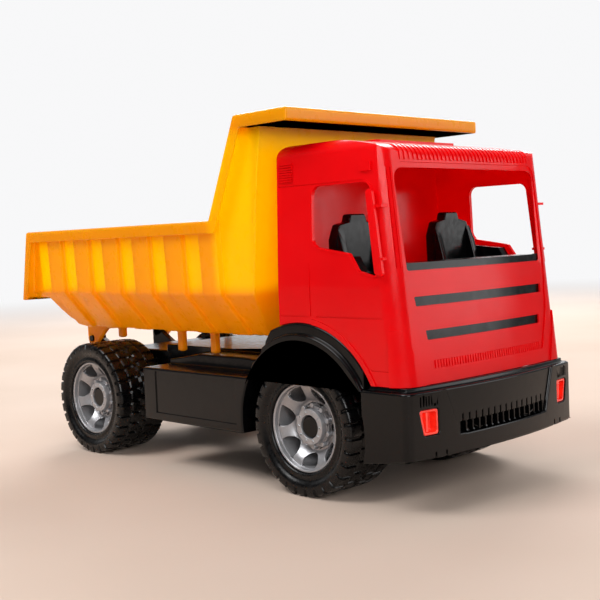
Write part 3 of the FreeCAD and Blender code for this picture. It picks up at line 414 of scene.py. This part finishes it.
def smoothStep(x, low, high):
    t = np.clip((x - low) / (high - low), 0, 1)
    return t * t * (3 - 2 * t)


def cornerCut(points, rounds):
    # each pass replaces every corner by two points at a quarter and three quarters of its sides
    for _ in range(rounds):
        after = np.roll(points, -1, axis=0)
        points = np.stack([0.75 * points + 0.25 * after, 0.25 * points + 0.75 * after], 1).reshape(-1, 2)
    return points


def evenly(points, count):
    # the closed outline resampled at equal steps along its length
    closed = np.vstack([points, points[:1]])
    run = np.concatenate([[0], np.cumsum(np.hypot(*np.diff(closed, axis=0).T))])
    at = np.linspace(0, run[-1], count, endpoint=False)
    return np.stack([np.interp(at, run, closed[:, k]) for k in (0, 1)], 1)


tyreShape = {
    "blocks": 30,             # tread blocks round the tyre on each shoulder
    "grooveWidth": 2.6,       # mm, between blocks
    "grooveDepth": 2.1,
    "notchDepth": 1.4,        # mm, where the gap runs down the side wall
    "middleGroove": 2.2,      # mm, zigzag groove round the middle
    "zigzag": 2.4,            # mm, how far it swings to each side
    "railAt": 14.0,           # mm from the middle, the shallow groove between inner and outer blocks
    "treadRadius": 54.0,
    "stepsPerBlock": 20,
    "profilePoints": 110,
    "beadRadius": 35.6,
}


def tyreGrid(low, high):
    # the tyre's rounded outline is carried round the axle; the tread's grooves are pressed in towards the
    # axle, and the gaps between blocks also press the shoulder's side wall in
    shape = tyreShape
    middle = (low + high) / 2
    reach = (high - low) / 2 / mm
    bead = shape["beadRadius"]
    wide = reach[1]
    tread = shape["treadRadius"]
    # (radius, distance from the middle) in mm: bead, side wall, shoulder, tread
    outline = [(bead, 21.5), (bead, 24.6), (37.6, 25.3), (39.0, 24.2), (41.2, 23.9), (43.6, 26.0),
               (45.5, wide), (51.0, wide), (53.2, wide - 0.9), (tread, wide - 3.2), (tread, 8.0), (tread, 0.0)]
    outline = np.array(outline)
    mirror = outline[::-1] * (1, -1)
    outline = np.vstack([outline, mirror[1:]])
    profile = evenly(cornerCut(outline, 3), shape["profilePoints"])
    radius, across = profile.T
    angle = np.linspace(0, 2 * np.pi, shape["blocks"] * shape["stepsPerBlock"], endpoint=False)
    turn, r = np.meshgrid(angle, radius, indexing="ij")
    y = np.broadcast_to(across, turn.shape)
    side = np.abs(y)
    pitch = 2 * np.pi / shape["blocks"]
    # shoulder blocks: their gaps step sideways by a quarter block at the rail
    rail = shape["railAt"]
    shift = np.where(y > 0, 0.0, 0.5) + 0.25 * smoothStep(side, rail - 0.4, rail + 0.4)
    along = (np.mod(turn / pitch + shift, 1.0) - 0.5) * pitch * shape["treadRadius"]
    half = shape["grooveWidth"] / 2
    gap = 1 - smoothStep(np.abs(along), half - 0.35, half + 0.35)
    gap = gap * smoothStep(side, 4.0, 5.0)
    zigzag = shape["zigzag"] * np.where(np.mod(turn / pitch * 2, 2) < 1, 1.0, -1.0)
    ringHalf = shape["middleGroove"] / 2
    ring = 1 - smoothStep(np.abs(y - zigzag), ringHalf - 0.3, ringHalf + 0.5)
    railGroove = 1 - smoothStep(np.abs(side - rail), 0.35, 0.95)
    outer = smoothStep(r, 47.5, 49.5)
    step = np.maximum(np.maximum(gap, ring), 0.55 * railGroove) * outer
    y = y - np.sign(y) * shape["notchDepth"] * gap * outer * smoothStep(side, wide - 2.5, wide - 0.5)
    r = r - shape["grooveDepth"] * step
    y = middle[1] + y * mm
    return np.stack([middle[0] + r * mm * np.cos(turn), y, middle[2] + r * mm * np.sin(turn)], -1)


def tyre(end, side):
    node = "tyre_" + end + "_" + side
    low, high = (np.array(corner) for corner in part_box(node))
    obj = surfaceObject(node + "_tread", [(tyreGrid(low, high), True, True)], tyreBlack,
                        bodyOf[node], flip=True, sharp=60)
    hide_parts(node)
    return obj


ringBolts = {"count": 10, "radius": 11.6, "size": 1.1, "height": 0.7, "steps": 8, "rows": 4,
             "hubFace": 97.4}   # mm; hubFace is from the middle plane to the face that the bolts sit on


def hubBolts(end, side):
    # each bolt is half a ball flattened to its height: ring k has radius size*cos(t), height*sin(t)
    node = "rim_" + end + "_" + side
    shape = ringBolts
    low, high = (np.array(corner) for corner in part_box(node))
    axle = (low + high) / 2
    sign = 1 if side == "left" else -1
    face = sign * shape["hubFace"] * mm
    a = np.arange(shape["count"]) / shape["count"] * 2 * np.pi
    t = np.linspace(0, np.pi / 2 * 0.98, shape["rows"])
    u = np.linspace(0, 2 * np.pi, shape["steps"], endpoint=False)
    grids = []
    for angle in a:
        across = shape["size"] * np.outer(np.cos(t), np.cos(u))
        upward = shape["size"] * np.outer(np.cos(t), np.sin(u))
        x = axle[0] + (shape["radius"] * math.cos(angle) + across) * mm
        z = axle[2] + (shape["radius"] * math.sin(angle) + upward) * mm
        y = face + sign * shape["height"] * mm * np.outer(np.sin(t), np.ones_like(u))
        grids.append((np.stack([x, y, z], -1), False, True))
    return surfaceObject("hub_bolts_" + end + "_" + side, grids, zinc, bodyOf[node],
                         flip=sign > 0)


for end in ("front", "rear"):
    for side in ("left", "right"):
        tyre(end, side)
        hubBolts(end, side)
print("wheels dressed")


# studio

studio = {
    "backdropSide": (-0.70, 0.70, 0.10),   # the white wall stands on this side of the truck
    "wallStrength": 0.98,
    "roomStrength": 0.10,                  # the rest of the room is dim, so black gloss stays black
    "floorRadius": 3.4,                    # m, flat paper before it sweeps up
    "sweepRadius": 1.6,
    "wallTop": 6.5,
    "paper": ("#C2AE9F", "#C9B6A8"),
    "keyPower": 43,
    "backPower": 62,
    "frontPower": 14,
    "nearPower": 26,
    "topPower": 23,
}


def wallLight(tree, place):
    # brightness of the wall: smooth step of the cosine between a direction and the backdrop's side
    ahead = addNode(tree, "ShaderNodeVectorMath", {"operation": "NORMALIZE"}, {0: place})
    facing = addNode(tree, "ShaderNodeVectorMath", {"operation": "DOT_PRODUCT"}, {0: ahead.outputs[0]})
    facing.inputs[1].default_value = Vector(studio["backdropSide"]).normalized()
    strength = addNode(tree, "ShaderNodeMapRange",
                       {"interpolation_type": "SMOOTHSTEP", "From Min": 0.25, "From Max": 0.85,
                        "To Min": studio["roomStrength"], "To Max": studio["wallStrength"]},
                       {"Value": facing.outputs["Value"]})
    return strength.outputs["Result"]


def studioFloor():
    # a bowl of paper: the profile (flat radius, quarter circle, upright wall) is carried round the Z axis
    flat = studio["floorRadius"]
    bend = studio["sweepRadius"]
    t = np.linspace(0, np.pi / 2, 24)
    radius = np.concatenate([np.linspace(0.02, flat, 20), flat + bend * np.sin(t[1:]), [flat + bend]])
    height = np.concatenate([np.zeros(20), bend - bend * np.cos(t[1:]), [studio["wallTop"]]])
    turn = np.linspace(0, 2 * np.pi, 128, endpoint=False)
    grid = np.stack([np.outer(radius, np.cos(turn)), np.outer(radius, np.sin(turn)),
                     np.outer(height, np.ones_like(turn))], -1)
    mesh = bpy.data.meshes.new("studioFloor")
    middle = [list(range(len(turn)))]
    faces = gridFaces(len(radius), len(turn), False, True)[:, ::-1].tolist() + middle
    mesh.from_pydata(grid.reshape(-1, 3), [], faces)
    mesh.polygons.foreach_set("use_smooth", np.ones(len(mesh.polygons), bool))
    floor = bpy.data.objects.new("studioFloor", mesh)
    bpy.context.scene.collection.objects.link(floor)
    material, tree, place = newMaterial("matt studio paper")
    shader = addNode(tree, "ShaderNodeBsdfPrincipled", {"Roughness": 0.85, "Specular IOR Level": 0.2},
                     {"Base Color": mottled(tree, place, 400, *studio["paper"])})
    glow = addNode(tree, "ShaderNodeEmission", {"Color": hexColour("#FAFAFB")},
                   {"Strength": wallLight(tree, place)})
    out = addNode(tree, "ShaderNodeVectorMath", {"operation": "LENGTH"}, {0: place})
    fade = addNode(tree, "ShaderNodeMapRange",
                   {"interpolation_type": "SMOOTHSTEP", "From Min": 1.1, "From Max": flat},
                   {"Value": out.outputs["Value"]})
    both = addNode(tree, "ShaderNodeMixShader", links={0: fade.outputs["Result"], 1: shader.outputs[0],
                                                       2: glow.outputs[0]})
    finishMaterial(tree, both.outputs[0])
    setMaterial(floor, material)


def softbox(name, place, target, size, power, colour="#FFFFFF"):
    data = bpy.data.lights.new(name, "AREA")
    data.shape = "RECTANGLE"
    data.size, data.size_y = size
    data.energy = power
    data.color = hexColour(colour)[:3]
    lamp = bpy.data.objects.new(name, data)
    lamp.location = place
    lamp.rotation_euler = (Vector(target) - Vector(place)).to_track_quat("-Z", "Y").to_euler()
    bpy.context.scene.collection.objects.link(lamp)


def studioWorld():
    world = bpy.data.worlds.new("studio")
    world.use_nodes = True
    tree = world.node_tree
    place = addNode(tree, "ShaderNodeTexCoord").outputs["Generated"]
    tree.links.new(wallLight(tree, place), tree.nodes["Background"].inputs["Strength"])
    tree.nodes["Background"].inputs["Color"].default_value = hexColour("#FAFAFB")
    bpy.context.scene.world = world


def studioLights():
    softbox("keyLight", (-0.5, -1.5, 2.1), (0, 0, 0.1), (1.3, 1.1), studio["keyPower"])
    softbox("backLight", (-1.3, 1.7, 1.6), (-0.1, 0, 0.2), (1.8, 1.2), studio["backPower"])
    softbox("frontPanel", (1.9, 1.7, 0.8), (0.2, 0, 0.15), (1.2, 1.3), studio["frontPower"])
    softbox("nearFill", (1.9, -1.1, 1.0), (0.2, 0, 0.15), (1.2, 1.0), studio["nearPower"])
    softbox("floorFill", (0.4, -0.2, 3.0), (0.0, 0, 0.0), (2.5, 2.5), studio["topPower"])


def studioCamera():
    # the view the object is usually shown from: its right front quarter, from a low stand
    azimuth, elevation, roll = (math.radians(a) for a in (45.586, 3.411, -2.371))
    back = Vector((math.sin(azimuth) * math.cos(elevation), -math.cos(azimuth) * math.cos(elevation),
                   math.sin(elevation)))
    level = Vector((math.cos(azimuth), math.sin(azimuth), 0))
    upright = back.cross(level)
    right = math.cos(roll) * level + math.sin(roll) * upright
    up = -math.sin(roll) * level + math.cos(roll) * upright
    data = bpy.data.cameras.new("camera")
    data.sensor_width = 36
    data.lens = 62.13
    camera = bpy.data.objects.new("camera", data)
    rows = [[right[i], up[i], back[i], p] for i, p in enumerate((0.7086, -0.6636, 0.2022))]
    camera.matrix_world = Matrix(rows + [[0, 0, 0, 1]])
    bpy.context.scene.collection.objects.link(camera)
    bpy.context.scene.camera = camera


studioFloor()
studioWorld()
studioLights()
studioCamera()
bpy.context.scene.view_settings.view_transform = "Standard"
print("studio ready")
